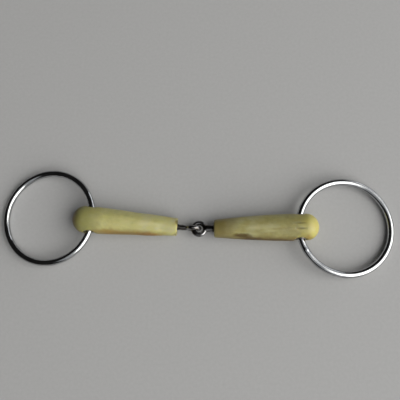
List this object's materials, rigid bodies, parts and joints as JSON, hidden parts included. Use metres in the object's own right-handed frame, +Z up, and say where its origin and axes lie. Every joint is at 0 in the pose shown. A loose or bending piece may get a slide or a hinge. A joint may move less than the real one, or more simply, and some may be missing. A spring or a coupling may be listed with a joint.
{
  "type": "loose-ring jointed snaffle bit",
  "caption": "Horse's loose-ring snaffle bit: a jointed mouthpiece of steel cores in tapered plastic sleeves, with a plain round-wire ring through each outer end.",
  "frame": {"origin": "middle of the footprint, on the surface that the bit lies on", "axes": "+X from the left ring to the right ring along the mouthpiece, +Y across it, +Z up from the surface"},
  "size_m": [0.2656, 0.0666, 0.0186],
  "materials": {
    "ring_steel": "polished stainless steel round wire",
    "core_steel": "cast stainless steel, dulled and dark in the recesses",
    "bush_steel": "turned steel, worn bright inside",
    "sleeve_plastic": "moulded polyurethane, waxy and yellowed with age"
  },
  "bodies": {
    "left_half": {"left_core": "core_steel", "left_sleeve": "sleeve_plastic"},
    "right_half": {"right_core": "core_steel", "right_sleeve": "sleeve_plastic"},
    "left_bush": {"left_ring_bush": "bush_steel"},
    "right_bush": {"right_ring_bush": "bush_steel"},
    "left_cheek_ring": {"left_ring": "ring_steel"},
    "right_cheek_ring": {"right_ring": "ring_steel"}
  },
  "joints": [
    {"name": "centre_fold", "type": "hinge", "parent": "left_half", "child": "right_half", "pos_m": [0.00329, -0.00427, 0.006], "axis": [0, 0, 1], "range_deg": [-115, 115]},
    {"name": "left_ring_swing", "type": "hinge", "parent": "left_half", "child": "left_bush", "pos_m": [-0.06958, -0.00115, 0.00916], "axis": [0.0427, 0.9991, 0], "range_deg": [-160, 178]},
    {"name": "left_ring_spin", "type": "hinge", "parent": "left_bush", "child": "left_cheek_ring", "pos_m": [-0.09983, 0.00014, 0.00571], "axis": [-0.1131, 0.0048, 0.9936], "continuous": true},
    {"name": "right_ring_swing", "type": "hinge", "parent": "right_half", "child": "right_bush", "pos_m": [0.06963, -0.00143, 0.0096], "axis": [-0.0427, 0.9991, 0], "range_deg": [-178, 160]},
    {"name": "right_ring_spin", "type": "hinge", "parent": "right_bush", "child": "right_cheek_ring", "pos_m": [0.09986, -0.00014, 0.00593], "axis": [0.1203, 0.0051, 0.9927], "continuous": true}
  ]
}
